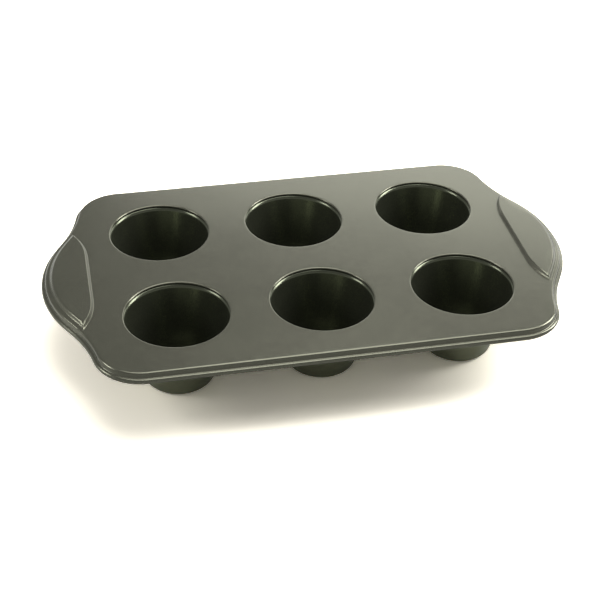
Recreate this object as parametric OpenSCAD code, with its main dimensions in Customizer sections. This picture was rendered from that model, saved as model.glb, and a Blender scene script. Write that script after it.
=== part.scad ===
// Popover pan: a pressed steel deck with a wired rim and two handle pads,
// and six deep tapered cups seamed into its holes.
// The table is z = 0, the long axis is X, and the pan is centred on the origin.

/* [Cups] */
// Inside diameter of a cup's mouth, just below its rounded shoulder
cup_mouth_d = 75; // [66:0.5:80]
// Diameter of the flat base that a cup stands on
cup_base_d = 44; // [32:0.5:52]
// Depth of the pan, from the top of the deck to the table
cup_depth = 56.5; // [40:0.5:80]
// Outside radius of the round between a cup's wall and its base
cup_base_round = 5; // [3:0.25:8]
// Radius of the rounded shoulder that turns a cup's wall out into its flange
cup_mouth_round = 3.5; // [2:0.1:5]
// Distance between the centres of neighbouring cups
cup_pitch = 108; // [100:0.5:120]

/* [Sheet] */
// Thickness of the steel sheet that the deck and the cups are pressed from
sheet_t = 0.6; // [0.4:0.05:0.8]

/* [Seam] */
// Width of the cup's shoulder that shows inside the edge of the deck's hole
seam_ledge = 1.2; // [0.8:0.1:2]
// Width of the deck's turned-back hem round a hole
hem_w = 3.4; // [2.4:0.1:5]
// Clearance between the hem's edge and the cup's fold round it
fold_gap = 0.1; // [0.05:0.05:0.4]
// Clearance between the tip of the cup's fold and the bend of the hem
fold_tip_gap = 0.6; // [0.3:0.1:1.2]

/* [Deck] */
// From the centre line of a row of cups to the long edge of the deck
side_margin = 63.9; // [56:0.1:72]
// From the centre of an end cup to the end of the deck's corners
end_margin = 61.5; // [56:0.1:70]
// Radius of the deck's four corners
corner_r = 33; // [24:0.5:40]
// Radius of the hollow waist between a corner and its ear
waist_r = 110; // [80:1:140]
// How far an ear's tip stands out past the deck's corners
ear_reach = 30.5; // [28:0.5:35]
// Radius of an ear's tip
ear_r = 95; // [86:0.5:105]
// Half of the angle that an ear's tip turns through
ear_angle = 30; // [26:0.5:32]

/* [Rim] */
// Outside radius of the bend from the deck down into the skirt
rim_round = 2; // [1.4:0.1:3]
// How far the skirt leans out, in degrees
skirt_flare = 12; // [4:1:20]
// Radius of the bend from the skirt out to the bead, at the sheet's middle
root_r = 1; // [0.8:0.1:1.6]
// Depth of the rim wire's centre below the top of the deck
rim_drop = 5.8; // [5.2:0.1:9]
// Diameter of the rim wire
wire_d = 2.6; // [2:0.1:3.4]
// Clearance between the rim wire and the bead rolled round it
wire_gap = 0.05; // [0.04:0.01:0.2]
// Angle that the bead turns through round the wire
roll_angle = 280; // [200:5:285]

/* [Handle pads] */
// Height of a handle pad above the deck
pad_h = 3; // [1:0.1:5]
// Length of a pad along X, from its inner foot to the tip of its ear
pad_l = 34; // [26:0.5:38]
// Length of the straight part of a pad's inner edge
pad_flat = 58; // [30:1:64]
// Radius that the pad's inner edge turns through to reach the rim
pad_bend_r = 59; // [45:1:75]
// Run of the slope on a pad's inner side
pad_inner_run = 2.2; // [1:0.1:4]
// Run of the slope on a pad's outer side
pad_outer_run = 4; // [2:0.1:6]
// Flat strip of deck left between the pad's outer foot and the rim's bend
pad_strip = 0.6; // [0.3:0.1:2]

/* [Hidden] */
$fn = 96;

// Steps along the round stretches of the outline and of the rim
ear_steps = 4;
waist_steps = 3;
corner_steps = 7;
round_steps = 4;
root_steps = 2;
bead_steps = 12;
wire_sides = 10;
pad_bend_steps = 12;
cup_round_steps = 6;

// Half of the deck, out to the line where its skirt begins
deck_half_w = cup_pitch / 2 + side_margin;
corner_end_x = cup_pitch + end_margin;
ear_tip_x = corner_end_x + ear_reach;

// Levels of the deck's sheet and of the seam's layers below it
deck_z = cup_depth;
deck_under_z = deck_z - sheet_t;
hem_top_z = deck_z - 2 * sheet_t;
hem_under_z = deck_z - 3 * sheet_t;
flange_under_z = deck_z - 4 * sheet_t;

// Radii of the seam, from a cup's axis
hem_bend_r = 1.5 * sheet_t;
hem_start_r = cup_mouth_d / 2 + seam_ledge + hem_bend_r;
hem_end_r = hem_start_r + hem_w;
fold_inner_r = hem_end_r + fold_gap;
fold_outer_r = fold_inner_r + sheet_t;
fold_tip_r = hem_start_r + fold_tip_gap;

// The hem's bend starts with a lap of flat sheet, which joins it to the deck
hem_lap = hem_w / 2;

// Centres of a cup's two bends, as radius and height, and the lean of its wall
mouth_c = [cup_mouth_d / 2 + cup_mouth_round, hem_under_z - cup_mouth_round];
base_c = [cup_base_d / 2, cup_base_round];
bends_apart = mouth_c - base_c;
wall_lean = acos((cup_mouth_round + cup_base_round - sheet_t) / norm(bends_apart))
  - atan2(bends_apart.y, bends_apart.x);

// Points on an arc about c, the first and the last included
function arc(c, r, from, to, steps) =
  [for (i = [0:steps]) let (a = from + (to - from) * i / steps) c + r * [cos(a), sin(a)]];

function without_first(list) = [for (i = [1:len(list) - 1]) list[i]];
function reversed(list) = [for (i = [len(list) - 1:-1:0]) list[i]];

// The ear's tip arc, its straight flank, the waist's arc and the corner's arc
// touch each other smoothly, so the waist's centre follows from the others.
ear_c = [ear_tip_x - ear_r, 0];
corner_c = [corner_end_x - corner_r, deck_half_w - corner_r];
flank_out = [cos(ear_angle), sin(ear_angle)];
flank_along = [-sin(ear_angle), cos(ear_angle)];
waist_line = (ear_c * flank_out + ear_r + waist_r) * flank_out;
corner_to_line = waist_line - corner_c;
half_b = corner_to_line * flank_along;
centres_apart = corner_r + waist_r;
waist_slide = -half_b
  - sqrt(half_b ^ 2 + centres_apart ^ 2 - corner_to_line * corner_to_line);
waist_c = waist_line + waist_slide * flank_along;
waist_to_corner = corner_c - waist_c;
corner_start = atan2(-waist_to_corner.y, -waist_to_corner.x);

// A quarter of the deck's outline, moved outwards by off, from an ear's tip to a long edge
function quarter_outline(off) = concat(
  arc(ear_c, ear_r + off, 0, ear_angle, ear_steps),
  arc(waist_c, waist_r - off, 180 + ear_angle, 180 + corner_start, waist_steps),
  arc(corner_c, corner_r + off, corner_start, 90, corner_steps)
);

// The whole outline, anticlockwise from the tip of the right ear
function outline(off) =
  let (q = quarter_outline(off), inner = without_first(q))
  concat(
    q,
    [for (p = reversed(q)) [-p.x, p.y]],
    [for (p = inner) [-p.x, -p.y]],
    [for (p = reversed(inner)) [p.x, -p.y]]
  );

// Centres of the rim's bends, as distance out from the skirt line and height
round_c = [-rim_round, deck_z - rim_round];
wire_z = deck_z - rim_drop;
bead_mid_r = wire_d / 2 + wire_gap + sheet_t / 2;
root_z = wire_z + bead_mid_r + root_r;
skirt_across = rim_round - sheet_t / 2 + root_r;
wire_x = round_c.x
  + (skirt_across - (root_z - round_c.y) * sin(skirt_flare)) / cos(skirt_flare);
root_c = [wire_x, root_z];
wire_c = [wire_x, wire_z];

// One face of the rim's sheet: side is 1 for its outer face and -1 for its inner face
function rim_face(side) =
  let (half_t = side * sheet_t / 2)
  concat(
    arc(round_c, rim_round - sheet_t / 2 + half_t, 90, skirt_flare, round_steps),
    arc(root_c, root_r - half_t, 180 + skirt_flare, 270, root_steps),
    without_first(arc(wire_c, bead_mid_r + half_t, 90, 90 - roll_angle, bead_steps))
  );

// The rim's section starts with a lap of flat sheet, which joins it to the deck
rim_lap = pad_strip / 2;
lap_start = -rim_round - rim_lap;
rim_section = concat(
  [[lap_start, deck_under_z], [lap_start, deck_z]],
  rim_face(1),
  reversed(rim_face(-1))
);
wire_section = without_first(arc(wire_c, wire_d / 2, 360, 0, wire_sides));

// Carries a closed section once round the deck's outline
module swept_round(section) {
  rings = [for (p = section) [for (q = outline(p.x)) [q.x, q.y, p.y]]];
  count = len(rings[0]);
  rows = len(section);
  faces = [
    for (k = [0:rows - 1], j = [0:count - 1])
      let (
        a = k * count + j,
        b = k * count + (j + 1) % count,
        c = (k + 1) % rows * count + (j + 1) % count,
        d = (k + 1) % rows * count + j
      )
      each [[a, b, c], [a, c, d]]
  ];
  polyhedron(points = [for (ring = rings) each ring], faces = faces, convexity = 6);
}

module at_each_cup() {
  for (column = [-1:1], row = [-1, 1])
    translate([column * cup_pitch, row * cup_pitch / 2, 0])
      children();
}

// The right pad's footprint, drawn in from its inner foot and from its outer foot
module pad_plan(inner_inset, outer_inset) {
  bend_c = [ear_tip_x - pad_l + pad_bend_r, pad_flat / 2];
  bend = arc(bend_c, pad_bend_r - inner_inset, 180, 90, pad_bend_steps);
  far = [ear_tip_x + pad_l, bend_c.y + pad_bend_r - inner_inset];
  half = concat(bend, [far]);
  intersection() {
    polygon(outline(-rim_round - pad_strip - outer_inset));
    polygon(concat(half, [for (p = reversed(half)) [p.x, -p.y]]));
  }
}

// The right pad as a solid hill, with its sloped sides moved in by wall and its top at top_z
module pad_hill(wall, foot_z, top_z) {
  skin = 0.01;
  foot_share = (foot_z - deck_z) / pad_h;
  top_share = (top_z - deck_z) / pad_h;
  hull() {
    translate([0, 0, foot_z])
      linear_extrude(skin)
        pad_plan(pad_inner_run * foot_share + wall, pad_outer_run * foot_share + wall);
    translate([0, 0, top_z - skin])
      linear_extrude(skin)
        pad_plan(pad_inner_run * top_share + wall, pad_outer_run * top_share + wall);
  }
}

module both_ends() {
  children();
  mirror([1, 0, 0]) children();
}

// The deck's sheet rolled under the edge of a hole, with one sheet's room inside it
module hem_section() {
  intersection() {
    translate([hem_start_r, deck_z - hem_bend_r])
      difference() {
        circle(hem_bend_r);
        circle(sheet_t / 2);
      }
    translate([hem_start_r - 2 * hem_bend_r, hem_under_z - sheet_t])
      square([2 * hem_bend_r, 5 * sheet_t]);
  }
  translate([hem_start_r, hem_under_z])
    square([hem_w, sheet_t]);
  translate([hem_start_r, deck_under_z])
    square([hem_lap, sheet_t]);
}

module deck() {
  color("dimgray") {
    difference() {
      union() {
        translate([0, 0, deck_under_z])
          linear_extrude(sheet_t)
            polygon(outline(lap_start + rim_lap / 2));
        both_ends() pad_hill(0, deck_z, deck_z + pad_h);
      }
      both_ends() pad_hill(sheet_t, deck_under_z - sheet_t, deck_under_z + pad_h);
      at_each_cup() translate([0, 0, hem_under_z]) cylinder(h = 4 * sheet_t, r = hem_start_r);
    }
    swept_round(rim_section);
    at_each_cup() rotate_extrude() hem_section();
  }
}

module rim_wire() {
  color("silver") swept_round(wire_section);
}

// A cup's wall, its flange under the hem, and the flange's fold back over the hem
module cup(column, row) {
  wall_angle = 180 - wall_lean;
  section = concat(
    [[0, 0]],
    arc(base_c, cup_base_round, -90, -wall_lean, cup_round_steps),
    arc(mouth_c, cup_mouth_round - sheet_t, wall_angle, 90, cup_round_steps),
    [
      [fold_outer_r, flange_under_z],
      [fold_outer_r, deck_under_z],
      [fold_tip_r, deck_under_z],
      [fold_tip_r, hem_top_z],
      [fold_inner_r, hem_top_z],
      [fold_inner_r, hem_under_z]
    ],
    arc(mouth_c, cup_mouth_round, 90, wall_angle, cup_round_steps),
    arc(base_c, cup_base_round - sheet_t, -wall_lean, -90, cup_round_steps),
    [[0, sheet_t]]
  );
  color("dimgray")
    translate([column * cup_pitch, row * cup_pitch / 2, 0])
      rotate_extrude()
        polygon(section);
}

deck();
rim_wire();
cup(-1, 1);  // cup_back_left
cup(0, 1);  // cup_back_middle
cup(1, 1);  // cup_back_right
cup(-1, -1);  // cup_front_left
cup(0, -1);  // cup_front_middle
cup(1, -1);  // cup_front_right
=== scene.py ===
"""A popover pan in coated steel, dressed for its picture.

A pressed deck with a wired rim and two handle pads carries six deep cups, each seamed into
its hole. Every size is in metres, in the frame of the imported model.
"""

import math

import bmesh
import bpy
from bpy.props import FloatProperty, FloatVectorProperty, PointerProperty
from mathutils import Matrix, Vector


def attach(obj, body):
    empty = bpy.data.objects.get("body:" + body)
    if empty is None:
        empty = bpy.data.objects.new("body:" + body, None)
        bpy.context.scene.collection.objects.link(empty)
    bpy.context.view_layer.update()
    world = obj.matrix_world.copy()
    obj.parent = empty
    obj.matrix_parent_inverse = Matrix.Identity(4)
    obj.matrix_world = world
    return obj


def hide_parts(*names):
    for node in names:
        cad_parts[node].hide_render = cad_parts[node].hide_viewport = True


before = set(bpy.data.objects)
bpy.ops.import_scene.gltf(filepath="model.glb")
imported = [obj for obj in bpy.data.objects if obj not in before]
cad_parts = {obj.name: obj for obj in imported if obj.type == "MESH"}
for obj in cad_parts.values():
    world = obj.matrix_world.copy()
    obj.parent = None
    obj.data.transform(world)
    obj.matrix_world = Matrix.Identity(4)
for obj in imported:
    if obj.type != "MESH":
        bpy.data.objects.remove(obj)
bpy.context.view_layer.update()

bl_info = {
    "name": "Popover Pan",
    "version": (1, 0, 0),
    "blender": (4, 5, 0),
    "location": "3D View > Sidebar > Popover Pan",
    "description": "Builds a six-cup popover pan in coated steel and a plain studio round it",
    "category": "Object",
}

MM = 0.001
JOIN = 1e-6
UP = (0, 0, 1)
COLUMNS = {"left": -1, "middle": 0, "right": 1}
ROWS = {"back": 1, "front": -1}

# Steps round the sections' bends and round a cup
RIM_ROUND_STEPS = 8
ROOT_STEPS = 5
BEAD_STEPS = 26
WIRE_SIDES = 16
HEM_STEPS = 12
BASE_STEPS = 2
BASE_ROUND_STEPS = 8
WALL_STEPS = 4
MOUTH_ROUND_STEPS = 10
FOLD_STEPS = 4
STEPS_AROUND = 128

# Flat strip that borders a bend, so that the deck's wide faces don't bend its shading
GUARD = 2 * MM


def length(name, description, millimetres):
    """A length property whose default is given in millimetres."""
    return FloatProperty(
        name=name,
        description=description,
        default=millimetres * MM,
        min=0.0,
        precision=5,
        unit="LENGTH",
    )


def angle(name, description, degrees):
    """An angle property whose default is given in degrees."""
    return FloatProperty(
        name=name, description=description, default=math.radians(degrees), subtype="ANGLE"
    )


def colour(name, description, default):
    """A colour property."""
    return FloatVectorProperty(
        name=name,
        description=description,
        default=default,
        subtype="COLOR",
        size=3,
        min=0.0,
        max=2.0,
    )


def share(name, description, default, highest=1.0):
    """A plain number property that starts at nought."""
    return FloatProperty(
        name=name, description=description, default=default, min=0.0, max=highest
    )


class PanSizes(bpy.types.PropertyGroup):
    """Sizes of the pan's sheet, cups, seams, deck, rim and handle pads."""

    sheet: length("Sheet", "Thickness of the steel sheet", 0.6)
    cup_mouth_d: length("Cup mouth", "Inside diameter of a cup's mouth", 75)
    cup_base_d: length("Cup base", "Diameter of a cup's flat base", 44)
    cup_depth: length("Depth", "From the deck's top down to the table", 56.5)
    base_round: length("Base round", "Outside round between wall and base", 5)
    mouth_round: length("Mouth round", "Rounded shoulder of a cup's mouth", 3.5)
    cup_pitch: length("Cup pitch", "Distance between neighbouring cups", 108)
    seam_ledge: length("Seam ledge", "Shoulder that shows inside a hole", 1.2)
    hem_w: length("Hem", "Width of the hem turned back round a hole", 3.4)
    fold_gap: length("Fold gap", "Room between the hem's edge and the fold", 0.1)
    fold_tip_gap: length("Fold tip gap", "Room between fold tip and hem bend", 0.6)
    fold_round: length("Fold round", "Inside round of the fold's two bends", 0.2)
    side_margin: length("Side margin", "Cup row's centre to the long edge", 63.9)
    end_margin: length("End margin", "End cup's centre to the corners' end", 61.5)
    corner_r: length("Corner radius", "Radius of the deck's corners", 33)
    waist_r: length("Waist radius", "Hollow between a corner and its ear", 110)
    ear_reach: length("Ear reach", "How far an ear stands past the corners", 30.5)
    ear_r: length("Ear radius", "Radius of an ear's tip", 95)
    ear_angle: angle("Ear angle", "Half of the angle that an ear's tip turns through", 30)
    rim_round: length("Rim round", "Bend from the deck into the skirt", 2)
    flare: angle("Skirt flare", "How far the skirt leans out", 12)
    root_r: length("Root round", "Bend from the skirt out to the bead", 1)
    rim_drop: length("Rim drop", "Depth of the rim wire below the deck", 5.8)
    wire_d: length("Wire", "Diameter of the rim wire", 2.6)
    wire_gap: length("Wire gap", "Room between wire and bead", 0.05)
    roll: angle("Bead roll", "Angle that the bead turns through round the wire", 280)
    pad_h: length("Pad height", "Height of a handle pad above the deck", 3)
    pad_l: length("Pad length", "From a pad's inner foot to its ear's tip", 34)
    pad_flat: length("Pad straight", "Straight part of a pad's inner edge", 58)
    pad_bend_r: length("Pad bend", "Bend of a pad's inner edge", 59)
    pad_inner_run: length("Inner run", "Run of a pad's inner slope", 2.2)
    pad_outer_run: length("Outer run", "Run of a pad's outer slope", 4)
    pad_strip: length("Pad strip", "Flat strip between pad and rim bend", 0.6)


class PanFinishes(bpy.types.PropertyGroup):
    """Colours and gloss of the pan's coating and wire."""

    deck_colour: colour("Deck", "Colour of the deck's coating", (0.13, 0.131, 0.098))
    # The cups wear the deck's coating in two copies. Inside it is darker than on the deck:
    # painted shade for the cups' deep insides, on top of the coating's own dark tone. Outside it
    # is about twice as pale as on the deck: painted light that makes up for the shade under the
    # deck.
    cup_inside_coat_and_shade_colour: colour("Cups inside", "Colour of the coating in the cups", (0.09, 0.098, 0.066))
    cup_outer_colour_painted_light: colour("Cups outside", "Colour of the cups' outsides", (0.25, 0.262, 0.165))
    wire_colour: colour("Wire", "Colour of the bare rim wire", (0.45, 0.44, 0.42))
    roughness: share("Roughness", "How matt the coating is", 0.22)
    grain: length("Grain", "Size of the coating's sprayed grain", 2.2)
    grain_depth: length("Grain depth", "Height of the sprayed grain", 0.0015)
    metal: share("Metal", "How much of the coating's gloss is that of metal", 0.8)


class StudioSettings(bpy.types.PropertyGroup):
    """The floor, lamps and camera that the pan is pictured with."""

    floor_colour: colour("Floor", "Colour of the floor in the picture", (1.95, 1.85, 1.62))
    # Painted reflection: to the metal's gloss the floor shows grey, darkest in front of the pan,
    # so the skirts and the cups' outsides mirror a dark floor where the camera sees a white one.
    floor_reflected_shade: share("Floor in gloss", "How pale the floor is in the metal's gloss", 0.72)
    front_reflected_shade: share("Front in gloss", "How pale its part in front of the pan is there", 0.3)
    floor_bounce: share("Floor bounce", "How much light the floor sends back", 0.9)
    horizon: share("Horizon", "Strength of the light from the horizon", 0.6, 4.0)
    zenith: share("Zenith", "Strength of the light from straight above", 0.3, 4.0)
    key_power: share("Key lamp", "Power of the lamp above, in watts", 23.0, 500.0)
    right_power: share("Right lamp", "Power of the lamp on the right, in watts", 25.2, 500.0)
    left_power: share("Left lamp", "Power of the lamp on the left, in watts", 8.4, 500.0)
    card_power: share("Card lamp", "Power of the wide lamp behind, in watts", 13.5, 500.0)
    back_power: share("Back lamp", "Power of the low lamp behind, in watts", 3.0, 500.0)
    place: FloatVectorProperty(
        name="Camera place",
        description="Where the camera stands",
        default=(-0.18490, -0.80857, 0.63182),
        subtype="TRANSLATION",
        unit="LENGTH",
        precision=5,
    )
    heading: angle("Camera heading", "How far the camera stands round to the right", -12.548)
    tilt: angle("Camera tilt", "How far the camera looks down", 36.639)
    roll: angle("Camera roll", "How far the camera leans about its line of sight", 1.503)
    lens: FloatProperty(
        name="Lens",
        description="Focal length of the camera, in millimetres",
        default=78.41,
        min=1.0,
    )


# The deck's outline


def turned(point, centre, angle):
    """A point turned about an upright line through a centre."""
    return centre + Matrix.Rotation(angle, 3, "Z") @ (point - centre)


def polar(centre, radius, angle):
    """The point at a radius and an angle from a centre, at table height."""
    return centre + radius * Vector((math.cos(angle), math.sin(angle), 0))


class Outline:
    """The arcs and straights that a quarter of the deck's skirt line runs through."""

    ear_steps = 22
    flank_steps = 4
    pad_end_steps = 6
    waist_steps = 9
    corner_steps = 30

    def __init__(self, s):
        self.half_w = s.cup_pitch / 2 + s.side_margin
        corner_end = s.cup_pitch + s.end_margin
        self.tip = corner_end + s.ear_reach
        self.ear = Vector((self.tip - s.ear_r, 0, 0))
        self.corner = Vector((corner_end - s.corner_r, self.half_w - s.corner_r, 0))
        out = polar(Vector(), 1, s.ear_angle)
        along = polar(Vector(), 1, s.ear_angle + math.pi / 2)
        line = out * (self.ear.dot(out) + s.ear_r + s.waist_r)
        to_line = line - self.corner
        half_b = to_line.dot(along)
        apart = s.corner_r + s.waist_r
        slide = -half_b - math.sqrt(half_b**2 + apart**2 - to_line.length_squared)
        self.waist = line + along * slide
        to_waist = self.waist - self.corner
        self.corner_start = math.atan2(to_waist.y, to_waist.x)
        self.flank = polar(self.waist, s.waist_r, math.pi + s.ear_angle) - polar(
            self.ear, s.ear_r, s.ear_angle
        )
        self.flank_out = out
        self.find_pad_end(s)

    def find_pad_end(self, s):
        """Where a pad's inner foot meets the rim's bend, as an angle about the waist."""
        self.pad_bend = Vector((self.tip - s.pad_l + s.pad_bend_r, s.pad_flat / 2, 0))
        between = self.pad_bend - self.waist
        radius = s.waist_r + s.rim_round
        swing = math.acos(
            (radius**2 + between.length_squared - s.pad_bend_r**2)
            / (2 * radius * between.length)
        )
        middle = math.atan2(between.y, between.x) % (2 * math.pi)
        first = math.pi + s.ear_angle
        last = math.pi + self.corner_start
        ends = [a for a in (middle - swing, middle + swing) if last < a < first]
        if not ends:
            raise ValueError("the pad's inner edge doesn't meet the rim in its waist")
        self.pad_end = ends[0]
        self.pad_corner = polar(self.waist, radius, self.pad_end)

    def pad_legs(self, s):
        """The legs from the ear's tip to the end of its pad."""
        return [
            (self.ear, s.ear_angle, Vector(), self.ear_steps),
            (self.ear, 0.0, self.flank / self.flank_steps, self.flank_steps),
            (
                self.waist,
                self.pad_end - math.pi - s.ear_angle,
                Vector(),
                self.pad_end_steps,
            ),
        ]

    def far_legs(self):
        """The legs from the end of the pad to the middle of a long edge."""
        return [
            (
                self.waist,
                math.pi + self.corner_start - self.pad_end,
                Vector(),
                self.waist_steps,
            ),
            (self.corner, math.pi / 2 - self.corner_start, Vector(), self.corner_steps),
            (self.corner, 0.0, Vector((-self.corner.x, 0, 0)), 1),
        ]

    def out_from_skirt(self, s, point):
        """How far a point of an ear lies outside the skirt line, minus inside it."""
        from_ear = point - self.ear
        if math.atan2(from_ear.y, from_ear.x) <= s.ear_angle:
            return from_ear.length - s.ear_r
        flank_start = polar(self.ear, s.ear_r, s.ear_angle)
        if (point - flank_start).dot(self.flank) <= self.flank.length_squared:
            return (point - flank_start).dot(self.flank_out)
        return s.waist_r - (point - self.waist).length


def walk(point, legs):
    """The points that a point passes on its way along some legs, its own included."""
    stops = [point.copy()]
    for centre, angle, shift, steps in legs:
        for _ in range(steps):
            point = turned(point, centre, angle / steps) + shift
            stops.append(point)
    return stops


# Modelling with bmesh


def of_kind(geometry, kind):
    """The verts, edges or faces among some mixed mesh elements."""
    return [g for g in geometry if isinstance(g, kind)]


class Section:
    """Draws a section in the XZ plane with one travelling point."""

    def __init__(self, bm, x, z):
        self.bm = bm
        self.tip = bm.verts.new((x, 0, z))

    def _spin(self, centre, angle, shift, steps):
        done = bmesh.ops.spin(
            self.bm,
            geom=[self.tip],
            cent=centre,
            axis=(0, 1, 0),
            dvec=shift,
            angle=angle,
            steps=steps,
            use_merge=False,
            use_duplicate=False,
        )
        self.tip = of_kind(done["geom_last"], bmesh.types.BMVert)[0]

    def run(self, x, z, steps=1):
        """Goes straight on to a point."""
        shift = (Vector((x, 0, z)) - self.tip.co) / steps
        self._spin((0, 0, 0), 0.0, shift, steps)

    def turn(self, x, z, angle, steps):
        """Turns about a centre, anticlockwise for someone in front of the pan."""
        self._spin((x, 0, z), -angle, (0, 0, 0), steps)


def sweep(bm, edges, legs):
    """Carries a section's edges along some legs and returns the last ring's edges."""
    for centre, angle, shift, steps in legs:
        done = bmesh.ops.spin(
            bm,
            geom=edges,
            cent=centre,
            axis=UP,
            dvec=shift,
            angle=angle,
            steps=steps,
            use_merge=False,
            use_duplicate=False,
        )
        edges = of_kind(done["geom_last"], bmesh.types.BMEdge)
    return edges


def spin_round(bm, edges, steps):
    """Spins a section once round the Z axis and closes it."""
    bmesh.ops.spin(
        bm,
        geom=edges,
        cent=(0, 0, 0),
        axis=UP,
        dvec=(0, 0, 0),
        angle=2 * math.pi,
        steps=steps,
        use_merge=True,
        use_duplicate=False,
    )
    bmesh.ops.remove_doubles(bm, verts=bm.verts[:], dist=JOIN)


def mirror_all(bm):
    """Makes a whole from a quarter that lies to the right and back of the origin."""
    for axis in "YX":
        everything = bm.verts[:] + bm.edges[:] + bm.faces[:]
        bmesh.ops.mirror(
            bm, geom=everything, matrix=Matrix.Identity(4), merge_dist=JOIN, axis=axis
        )
    bmesh.ops.remove_doubles(bm, verts=bm.verts[:], dist=JOIN)


def face_out(bm, sample=None):
    """Makes all faces agree; the sample face, where one is named, ends up facing up."""
    bmesh.ops.recalc_face_normals(bm, faces=bm.faces[:])
    if sample:
        bm.faces.ensure_lookup_table()
        bm.normal_update()
        if sample(bm.faces).normal.z < 0:
            bmesh.ops.reverse_faces(bm, faces=bm.faces[:])


def highest(faces):
    """The face whose middle lies highest."""
    return max(faces, key=lambda f: f.calc_center_median().z)


def lowest(faces):
    """The face whose middle lies lowest."""
    return min(faces, key=lambda f: f.calc_center_median().z)


def make_piece(name, bm, materials, node, wall=0.0):
    """Makes a piece that stands for a CAD node, with a sheet's thickness if one is given.

    A second material, where there is one, goes on the sheet's other side.
    """
    for face in bm.faces:
        face.smooth = True
    mesh = bpy.data.meshes.new(name)
    bm.to_mesh(mesh)
    bm.free()
    for material in materials:
        mesh.materials.append(material)
    piece = bpy.data.objects.new(name, mesh)
    bpy.context.scene.collection.objects.link(piece)
    if wall:
        solid = piece.modifiers.new("Sheet", "SOLIDIFY")
        solid.thickness = wall
        solid.offset = -1.0
        solid.use_even_offset = True
        solid.use_quality_normals = True
        solid.material_offset = len(materials) - 1
    piece.modifiers.new("Smooth shading", "WEIGHTED_NORMAL")
    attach(piece, "root")
    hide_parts(node)
    return piece


# Materials


class Flow:
    """A value in a material's nodes, so that shader maths reads as plain sums."""

    def __init__(self, paint, socket):
        self.paint = paint
        self.socket = socket

    def _math(self, operation, first, second):
        return self.paint.node("Math", {"operation": operation}, {0: first, 1: second})

    def __add__(self, other):
        return self._math("ADD", self, other)

    def __radd__(self, other):
        return self._math("ADD", other, self)

    def __sub__(self, other):
        return self._math("SUBTRACT", self, other)

    def __rsub__(self, other):
        return self._math("SUBTRACT", other, self)

    def __mul__(self, other):
        return self._math("MULTIPLY", self, other)

    def __rmul__(self, other):
        return self._math("MULTIPLY", other, self)

    def __truediv__(self, other):
        return self._math("DIVIDE", self, other)


class Paint:
    """A material, or the world, being put together from nodes."""

    def __init__(self, name, world=None):
        self.home = world or bpy.data.materials.new(name)
        self.home.use_nodes = True
        self.tree = self.home.node_tree
        self.tree.nodes.clear()

    def node(self, kind, settings=None, inputs=None, output=0):
        """Adds a node: its settings come first, then the values or links of its sockets."""
        made = self.tree.nodes.new("ShaderNode" + kind)
        for key, value in (settings or {}).items():
            setattr(made, key, value)
        for key, value in (inputs or {}).items():
            if isinstance(value, Flow):
                self.tree.links.new(value.socket, made.inputs[key])
            else:
                made.inputs[key].default_value = value
        return Flow(self, made.outputs[output]) if made.outputs else None

    def surface(self, shader):
        """Ends the material or the world in a shader."""
        kind = "OutputWorld" if isinstance(self.home, bpy.types.World) else "OutputMaterial"
        self.node(kind, None, {"Surface": shader})
        return self.home

    def place(self):
        """Object coordinates, in metres."""
        return self.node("TexCoord", output="Object")

    def axes(self, vector):
        """The X, Y and Z of a vector."""
        x = self.node("SeparateXYZ", None, {"Vector": vector})
        return [Flow(self, socket) for socket in x.socket.node.outputs]

    def noise(self, place, size, detail=2.0, roughness=0.5):
        """Soft noise from 0 to 1 with grains of a size in metres."""
        sockets = {"Vector": place, "Scale": 1 / size, "Detail": detail, "Roughness": roughness}
        return self.node("TexNoise", None, sockets)

    def step(self, value, low, high):
        """0 below low, 1 above high, and smooth in between."""
        sockets = {"Value": value, "From Min": low, "From Max": high}
        return self.node("MapRange", {"interpolation_type": "SMOOTHSTEP"}, sockets)

    def mix(self, amount, first, second):
        """Mixes two colours."""
        return self.node("Mix", {"data_type": "RGBA"}, {0: amount, 6: first, 7: second}, 2)


def opaque(rgb, strength=1.0):
    """A colour with its alpha, as a shader's socket wants it."""
    return (*(c * strength for c in rgb), 1.0)


def grey(level):
    """A grey with its alpha."""
    return opaque((level, level, level))


def coated_steel(name, rgb, finishes, worn):
    """A sprayed metallic coating, slightly mottled, and polished where worn says."""
    cloud_size = 60 * MM
    fleck_size = 2.5 * finishes.grain
    mottle = 0.04
    worn_share = 0.35
    worn_gain = 1.7
    paint = Paint(name)
    place = paint.place()
    cloud = paint.noise(place, cloud_size, 3.0)
    fleck = paint.noise(place, fleck_size, 1.0)
    grain = paint.noise(place, finishes.grain, 1.0)
    wear = worn(paint, place)
    tone = paint.step(0.6 * cloud + 0.4 * fleck, 0.3, 0.7)
    base = paint.mix(tone, opaque(rgb, 1 - mottle), opaque(rgb, 1 + mottle))
    base = paint.mix(worn_share * wear, base, opaque(rgb, worn_gain))
    rough = finishes.roughness + 0.04 * (cloud - 0.5) + 0.03 * (fleck - 0.5) - 0.05 * wear
    bump = paint.node(
        "Bump",
        None,
        {"Strength": 0.6, "Distance": finishes.grain_depth, "Height": grain},
    )
    shader = paint.node(
        "BsdfPrincipled",
        None,
        {"Base Color": base, "Roughness": rough, "Metallic": finishes.metal, "Normal": bump},
    )
    return paint.surface(shader)


def bare_wire(finishes):
    """Drawn steel wire with faint die lines."""
    line_size = 0.6 * MM
    darkest, palest = 0.85, 1.1
    rgb = finishes.wire_colour
    paint = Paint("drawn_wire_steel")
    lines = paint.noise(paint.place(), line_size, 3.0, 0.6)
    base = paint.mix(lines, opaque(rgb, darkest), opaque(rgb, palest))
    shader = paint.node(
        "BsdfPrincipled",
        None,
        {"Base Color": base, "Roughness": 0.3 + 0.15 * lines, "Metallic": 1.0},
    )
    return paint.surface(shader)


# The pan's pieces


def hem_bend_radius(s):
    """Outside radius of a hem's bend, which leaves room for one sheet inside it."""
    return 1.5 * s.sheet


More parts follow.
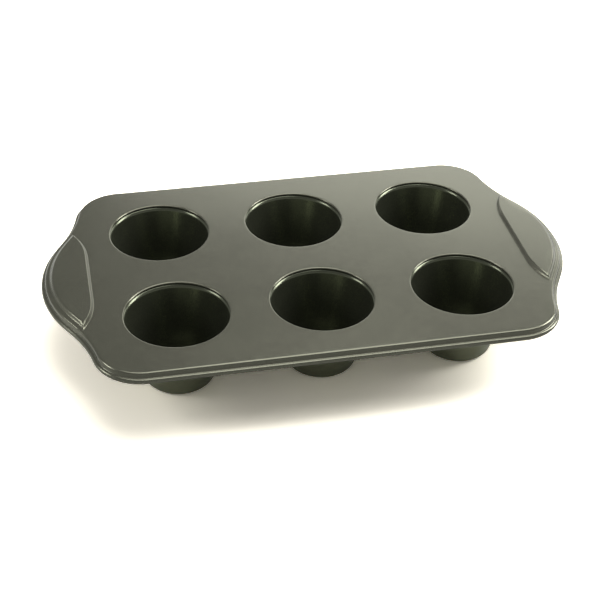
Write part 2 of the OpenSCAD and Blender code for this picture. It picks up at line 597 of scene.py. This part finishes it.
def hem_start(s):
    """Radius, from a cup's axis, at which the deck bends down into a hem."""
    return s.cup_mouth_d / 2 + s.seam_ledge + hem_bend_radius(s)


def rim_centres(s):
    """Centres of the rim's three bends, as distance out from the skirt line and height."""
    bead_mid_r = s.wire_d / 2 + s.wire_gap + s.sheet / 2
    wire_z = s.cup_depth - s.rim_drop
    root_z = wire_z + bead_mid_r + s.root_r
    top_z = s.cup_depth - s.rim_round
    across = s.rim_round - s.sheet / 2 + s.root_r
    wire_x = -s.rim_round + (across - (root_z - top_z) * math.sin(s.flare)) / math.cos(s.flare)
    return (-s.rim_round, top_z), (wire_x, root_z), (wire_x, wire_z)


def soft_ramp(distance, run, soft):
    """A slope from 0 to 1 over a run, with rounded foot and shoulder."""
    t = min(max(distance / run, 0.0), 1.0)
    if t < soft:
        return t * t / (2 * soft * (1 - soft))
    if t > 1 - soft:
        return 1 - (1 - t) ** 2 / (2 * soft * (1 - soft))
    return (t - soft / 2) / (1 - soft)


def pad_height(s, outline, point):
    """How high a pad stands over the deck at a point."""
    inner_soft, outer_soft = 0.3, 0.5
    if point.y <= outline.pad_bend.y:
        inside = point.x - (outline.tip - s.pad_l)
    else:
        inside = s.pad_bend_r - (point - outline.pad_bend).length
    outside = -s.rim_round - s.pad_strip - outline.out_from_skirt(s, point)
    inner = soft_ramp(inside, s.pad_inner_run, inner_soft)
    outer = soft_ramp(outside, s.pad_outer_run, outer_soft)
    return s.pad_h * min(inner, outer)


def pad_foot(s, outline, part):
    """A point of a pad's inner foot, at a part of its way from the middle to the rim."""
    to_end = outline.pad_corner - outline.pad_bend
    turn = math.pi - math.atan2(to_end.y, to_end.x)
    straight = s.pad_flat / 2
    way = part * (straight + turn * s.pad_bend_r)
    if way <= straight:
        return Vector((outline.tip - s.pad_l, way, 0))
    return polar(outline.pad_bend, s.pad_bend_r, math.pi - (way - straight) / s.pad_bend_r)


def pad_patch(bm, s, outline):
    """Half of the right handle pad, as a grid from its inner foot to the rim's bend."""
    inner_rows = 10
    top_rows = 6
    outer_rows = 11
    most_band = 0.8
    inner_spare, outer_spare = 1.15, 1.1
    start = Vector((outline.tip - s.rim_round, 0, 0))
    outer = walk(start, outline.pad_legs(s))
    ways = [0.0]
    for a, b in zip(outer, outer[1:]):
        ways.append(ways[-1] + (b - a).length)
    inner = [pad_foot(s, outline, way / ways[-1]) for way in ways]
    columns = len(outer) - 1
    rows = inner_rows + top_rows + outer_rows
    grid = bmesh.ops.create_grid(bm, x_segments=columns, y_segments=rows, size=1.0)
    inner_band = inner_spare * s.pad_inner_run
    outer_band = outer_spare * (s.pad_strip + s.pad_outer_run)
    for vert in grid["verts"]:
        column = round((vert.co.x + 1) / 2 * columns)
        row = round((vert.co.y + 1) / 2 * rows)
        a, b = inner[column], outer[column]
        width = (b - a).length
        fit = min(1.0, most_band * width / (inner_band + outer_band))
        low = fit * inner_band
        high = width - fit * outer_band
        if row <= inner_rows:
            along = low * row / inner_rows
        elif row <= inner_rows + top_rows:
            along = low + (high - low) * (row - inner_rows) / top_rows
        else:
            along = width - fit * outer_band * (rows - row) / outer_rows
        point = a + (b - a) * (along / width) if width > JOIN else b.copy()
        edge = row in (0, rows) or column == columns
        lift = 0.0 if edge else pad_height(s, outline, point)
        vert.co = (point.x, point.y, s.cup_depth + lift)


def deck_rim(bm, s, outline):
    """The rim over a quarter of the outline: shoulder, skirt, root and rolled bead."""
    (round_x, round_z), (root_x, root_z), (wire_x, wire_z) = rim_centres(s)
    tip = outline.tip
    old_edges = set(bm.edges)
    pen = Section(bm, tip + round_x, s.cup_depth)
    pen.turn(tip + round_x, round_z, s.flare - math.pi / 2, RIM_ROUND_STEPS)
    root_inner = s.root_r - s.sheet / 2
    pen.run(
        tip + root_x - root_inner * math.cos(s.flare),
        root_z - root_inner * math.sin(s.flare),
    )
    pen.turn(tip + root_x, root_z, math.pi / 2 - s.flare, ROOT_STEPS)
    pen.turn(tip + wire_x, wire_z, -s.roll, BEAD_STEPS)
    section = [e for e in bm.edges if e not in old_edges]
    ring = sweep(bm, section, outline.pad_legs(s))
    # Past the pad, where the bend borders the flat deck, the section gains a guard strip
    ends = {v for e in ring for v in e.verts}
    pad_end = outline.pad_corner + Vector((0, 0, s.cup_depth))
    corner = min(ends, key=lambda v: (v.co - pad_end).length)
    inward = (outline.pad_corner - outline.waist).normalized()
    guard = bm.verts.new(corner.co + GUARD * inward)
    ring.append(bm.edges.new((corner, guard)))
    sweep(bm, ring, outline.far_legs())


def hole_hem(bm, s, column, row):
    """The deck's edge turned under round one hole, spun about the cup's axis."""
    part = bmesh.new()
    bend_r = hem_bend_radius(s)
    start_r = hem_start(s)
    pen = Section(part, start_r + GUARD, s.cup_depth)
    pen.run(start_r, s.cup_depth)
    pen.turn(start_r, s.cup_depth - bend_r, math.pi, HEM_STEPS)
    pen.run(start_r + s.hem_w, s.cup_depth - 2 * bend_r)
    spin_round(part, part.edges[:], STEPS_AROUND)
    middle = Vector((column * s.cup_pitch, row * s.cup_pitch / 2, 0))
    bmesh.ops.translate(part, verts=part.verts[:], vec=middle)
    mesh = bpy.data.meshes.new("hem")
    part.to_mesh(mesh)
    part.free()
    bm.from_mesh(mesh)
    bpy.data.meshes.remove(mesh)


def level_edges(bm, height):
    """The open edges that lie level at a height."""
    return [
        e
        for e in bm.edges
        if len(e.link_faces) == 1 and all(abs(v.co.z - height) < JOIN for v in e.verts)
    ]


def deck_wear(s):
    """Says where the deck's coating is rubbed: the noses of its hems and its bead."""
    nose_wear = 0.5
    bead_wear = 0.15
    nose_in, nose_out = 0.4 * MM, 0.6 * MM
    bead_below, bead_above = 0.5 * MM, 0.8 * MM

    def worn(paint, place):
        x, y, z = paint.axes(place)
        column = paint.node("Math", {"operation": "ROUND"}, {0: x / s.cup_pitch})
        across = x - s.cup_pitch * column
        row = paint.node("Math", {"operation": "ABSOLUTE"}, {0: y}) - s.cup_pitch / 2
        away = paint.node("Math", {"operation": "SQRT"}, {0: across * across + row * row})
        start_r = hem_start(s)
        nose = 1 - paint.step(away, start_r - nose_in, start_r + nose_out)
        bead_top = s.cup_depth - s.rim_drop + s.wire_d / 2
        bead = 1 - paint.step(z, bead_top - bead_below, bead_top + bead_above)
        return nose_wear * nose + bead_wear * bead

    return worn


def cup_wear(s):
    """Says where a cup's coating is rubbed: the rim of the base it stands on."""
    foot_wear = 0.6
    foot_low, foot_high = 0.1 * MM, 1.2 * MM

    def worn(paint, place):
        height = paint.axes(place)[2]
        return foot_wear * (1 - paint.step(height, foot_low, foot_high))

    return worn


def sizes():
    """The pan's sizes."""
    return bpy.context.scene.popover_pan


def finishes():
    """The pan's finishes."""
    return bpy.context.scene.popover_finishes


def studio():
    """The studio's settings."""
    return bpy.context.scene.popover_studio


class PAN_OT_deck(bpy.types.Operator):
    """Press the deck: holes with turned-back hems, handle pads and a rolled rim"""

    bl_idname = "popover_pan.deck"
    bl_label = "Press Deck"
    bl_options = {"REGISTER", "UNDO"}

    def execute(self, context):
        s = sizes()
        outline = Outline(s)
        bm = bmesh.new()
        pad_patch(bm, s, outline)
        deck_rim(bm, s, outline)
        bmesh.ops.remove_doubles(bm, verts=bm.verts[:], dist=JOIN)
        mirror_all(bm)
        for column in COLUMNS.values():
            for row in ROWS.values():
                hole_hem(bm, s, column, row)
        bmesh.ops.triangle_fill(
            bm,
            use_beauty=True,
            use_dissolve=False,
            edges=level_edges(bm, s.cup_depth),
            normal=UP,
        )
        face_out(bm, highest)
        coat = coated_steel("deck_coating", finishes().deck_colour, finishes(), deck_wear(s))
        make_piece("deck_sheet", bm, [coat], "deck", s.sheet)
        return {"FINISHED"}


class PAN_OT_rim_wire(bpy.types.Operator):
    """Lay the steel wire that the deck's bead is rolled round"""

    bl_idname = "popover_pan.rim_wire"
    bl_label = "Lay Rim Wire"
    bl_options = {"REGISTER", "UNDO"}

    def execute(self, context):
        s = sizes()
        outline = Outline(s)
        wire_x, wire_z = rim_centres(s)[2]
        bm = bmesh.new()
        place = Matrix.Translation((outline.tip + wire_x, 0, wire_z))
        bmesh.ops.create_circle(
            bm,
            cap_ends=False,
            segments=WIRE_SIDES,
            radius=s.wire_d / 2,
            matrix=place @ Matrix.Rotation(math.pi / 2, 4, "X"),
        )
        ring = sweep(bm, bm.edges[:], outline.pad_legs(s))
        sweep(bm, ring, outline.far_legs())
        mirror_all(bm)
        face_out(bm)
        make_piece("rim_wire_bar", bm, [bare_wire(finishes())], "rim_wire")
        return {"FINISHED"}


class PAN_OT_cups(bpy.types.Operator):
    """Draw the six cups, each with the flange and fold of its seam"""

    bl_idname = "popover_pan.cups"
    bl_label = "Draw Cups"
    bl_options = {"REGISTER", "UNDO"}

    def cup_shell(self, s, column, row):
        """One cup's inner face from the middle of its base to the tip of its fold."""
        hem_top = s.cup_depth - 2 * s.sheet
        hem_under = s.cup_depth - 3 * s.sheet
        mouth = Vector((s.cup_mouth_d / 2 + s.mouth_round, hem_under - s.mouth_round))
        base = Vector((s.cup_base_d / 2, s.base_round))
        apart = mouth - base
        lean = math.acos((s.mouth_round + s.base_round - s.sheet) / apart.length)
        lean -= math.atan2(apart.y, apart.x)
        start_r = hem_start(s)
        fold_r = start_r + s.hem_w + s.fold_gap
        bend = s.fold_round
        bm = bmesh.new()
        pen = Section(bm, 0, s.sheet)
        pen.run(base.x, s.sheet, BASE_STEPS)
        pen.turn(base.x, base.y, math.pi / 2 - lean, BASE_ROUND_STEPS)
        pen.run(
            mouth.x - s.mouth_round * math.cos(lean),
            mouth.y + s.mouth_round * math.sin(lean),
            WALL_STEPS,
        )
        pen.turn(mouth.x, mouth.y, lean - math.pi / 2, MOUTH_ROUND_STEPS)
        pen.run(fold_r - bend, hem_under)
        pen.turn(fold_r - bend, hem_under + bend, math.pi / 2, FOLD_STEPS)
        pen.run(fold_r, hem_top - bend)
        pen.turn(fold_r - bend, hem_top - bend, math.pi / 2, FOLD_STEPS)
        pen.run(start_r + s.fold_tip_gap, hem_top)
        spin_round(bm, bm.edges[:], STEPS_AROUND)
        face_out(bm, lowest)
        middle = Vector((column * s.cup_pitch, row * s.cup_pitch / 2, 0))
        bmesh.ops.translate(bm, verts=bm.verts[:], vec=middle)
        return bm

    def execute(self, context):
        s = sizes()
        f = finishes()
        # Inside copy: the coating's tone darkened with painted shade. Outside copy: paler than
        # the deck's, painted light against the shade under the deck.
        coats = [
            coated_steel("cup_coating", f.cup_inside_coat_and_shade_colour, f, cup_wear(s)),
            coated_steel("cup_outer_coating_painted_light", f.cup_outer_colour_painted_light, f, cup_wear(s)),
        ]
        for row_name, row in ROWS.items():
            for column_name, column in COLUMNS.items():
                where = f"{row_name}_{column_name}"
                bm = self.cup_shell(s, column, row)
                make_piece("cup_shell_" + where, bm, coats, "cup_" + where, s.sheet)
        return {"FINISHED"}


class PAN_OT_studio(bpy.types.Operator):
    """Set the studio: a white floor, soft lamps and the picture's camera"""

    bl_idname = "popover_pan.studio"
    bl_label = "Set Studio"
    bl_options = {"REGISTER", "UNDO"}

    def floor(self, t):
        """A wide white floor that keeps the pan's soft shadow, and shows grey to the metal's
        gloss, darkest in front of the pan: a painted dark reflection in the skirts and cups.
        """
        half_width = 6.0
        bm = bmesh.new()
        bmesh.ops.create_grid(bm, x_segments=1, y_segments=1, size=half_width)
        mesh = bpy.data.meshes.new("floor")
        bm.to_mesh(mesh)
        bm.free()
        floor = bpy.data.objects.new("floor", mesh)
        bpy.context.scene.collection.objects.link(floor)
        front_y, back_y = -0.3, 0.1
        paint = Paint("white_floor")
        seen = paint.node("LightPath", output="Is Camera Ray")
        mirrored = paint.node("LightPath", output="Is Glossy Ray")
        # Painted reflection: glossy rays see a grey floor, darker in front of the pan, which
        # paints dark reflections into the pan's skirt and cups.
        behind = paint.step(paint.axes(paint.place())[1], front_y, back_y)
        painted_reflection_tone = paint.mix(behind, grey(t.front_reflected_shade), grey(t.floor_reflected_shade))
        tone = paint.mix(mirrored, grey(t.floor_bounce), painted_reflection_tone)
        tone = paint.mix(seen, tone, opaque(t.floor_colour))
        mesh.materials.append(paint.surface(paint.node("BsdfDiffuse", None, {"Color": tone})))

    def sky(self, t):
        """Soft light from all round, paler at the horizon than overhead."""
        low, high = 0.1, 0.6
        world = bpy.data.worlds.new("studio_sky")
        bpy.context.scene.world = world
        paint = Paint("studio_sky", world)
        aim = paint.node("TexCoord", output="Generated")
        rise = paint.step(paint.axes(aim)[2], low, high)
        tone = paint.mix(rise, grey(t.horizon), grey(t.zenith))
        paint.surface(paint.node("Background", None, {"Color": tone, "Strength": 1.0}))

    def lamp(self, name, place, size, power):
        """A soft white lamp of a width and a height, aimed at the pan."""
        aim = Vector((0, 0, 0.05))
        data = bpy.data.lights.new(name, "AREA")
        data.shape = "RECTANGLE"
        data.size, data.size_y = size
        data.energy = power
        lamp = bpy.data.objects.new(name, data)
        lamp.location = place
        lamp.rotation_euler = (aim - Vector(place)).to_track_quat("-Z", "Y").to_euler()
        bpy.context.scene.collection.objects.link(lamp)

    def camera(self, t):
        """The picture's camera, by its place, heading, tilt and roll."""
        sensor_mm = 36.0
        nearest = 0.01
        back = Vector(
            (
                math.sin(t.heading) * math.cos(t.tilt),
                -math.cos(t.heading) * math.cos(t.tilt),
                math.sin(t.tilt),
            )
        )
        right = Vector(UP).cross(back).normalized()
        up = back.cross(right)
        side = math.cos(t.roll) * right + math.sin(t.roll) * up
        top = math.cos(t.roll) * up - math.sin(t.roll) * right
        data = bpy.data.cameras.new("camera")
        data.lens = t.lens
        data.sensor_width = sensor_mm
        data.clip_start = nearest
        camera = bpy.data.objects.new("camera", data)
        turn = Matrix((side, top, back)).transposed().to_4x4()
        camera.matrix_world = Matrix.Translation(t.place) @ turn
        bpy.context.scene.collection.objects.link(camera)
        bpy.context.scene.camera = camera

    def execute(self, context):
        t = studio()
        self.floor(t)
        self.sky(t)
        self.lamp("key_lamp", (0.3, 0.25, 1.55), (1.5, 1.5), t.key_power)
        self.lamp("right_lamp", (1.5, 0.15, 0.95), (0.6, 1.0), t.right_power)
        self.lamp("left_lamp", (-1.5, 0.15, 0.95), (0.6, 0.6), t.left_power)
        self.lamp("card_lamp", (0.98, 1.7, 0.84), (2.2, 0.8), t.card_power)
        self.lamp("back_lamp", (0.0, 2.1, 0.3), (2.6, 0.4), t.back_power)
        self.camera(t)
        context.scene.view_settings.view_transform = "Standard"
        return {"FINISHED"}


class PAN_PT_sidebar(bpy.types.Panel):
    """The pan's operators and settings"""

    bl_idname = "PAN_PT_sidebar"
    bl_label = "Popover Pan"
    bl_space_type = "VIEW_3D"
    bl_region_type = "UI"
    bl_category = "Popover Pan"

    def draw(self, context):
        column = self.layout.column(align=True)
        for step in STEPS:
            column.operator(step.bl_idname)
        for group in (sizes(), finishes(), studio()):
            box = self.layout.box()
            for key in type(group).__annotations__:
                box.prop(group, key)


STEPS = (PAN_OT_deck, PAN_OT_rim_wire, PAN_OT_cups, PAN_OT_studio)
CLASSES = (PanSizes, PanFinishes, StudioSettings, *STEPS, PAN_PT_sidebar)


def register():
    """Adds the pan's classes and settings to Blender."""
    for each in CLASSES:
        bpy.utils.register_class(each)
    bpy.types.Scene.popover_pan = PointerProperty(type=PanSizes)
    bpy.types.Scene.popover_finishes = PointerProperty(type=PanFinishes)
    bpy.types.Scene.popover_studio = PointerProperty(type=StudioSettings)


def unregister():
    """Takes them out again."""
    del bpy.types.Scene.popover_studio
    del bpy.types.Scene.popover_finishes
    del bpy.types.Scene.popover_pan
    for each in reversed(CLASSES):
        bpy.utils.unregister_class(each)


def main():
    """Builds the pan and its studio."""
    register()
    bpy.ops.popover_pan.deck()
    bpy.ops.popover_pan.rim_wire()
    bpy.ops.popover_pan.cups()
    bpy.ops.popover_pan.studio()
    bpy.context.view_layer.update()


if __name__ == "__main__":
    main()
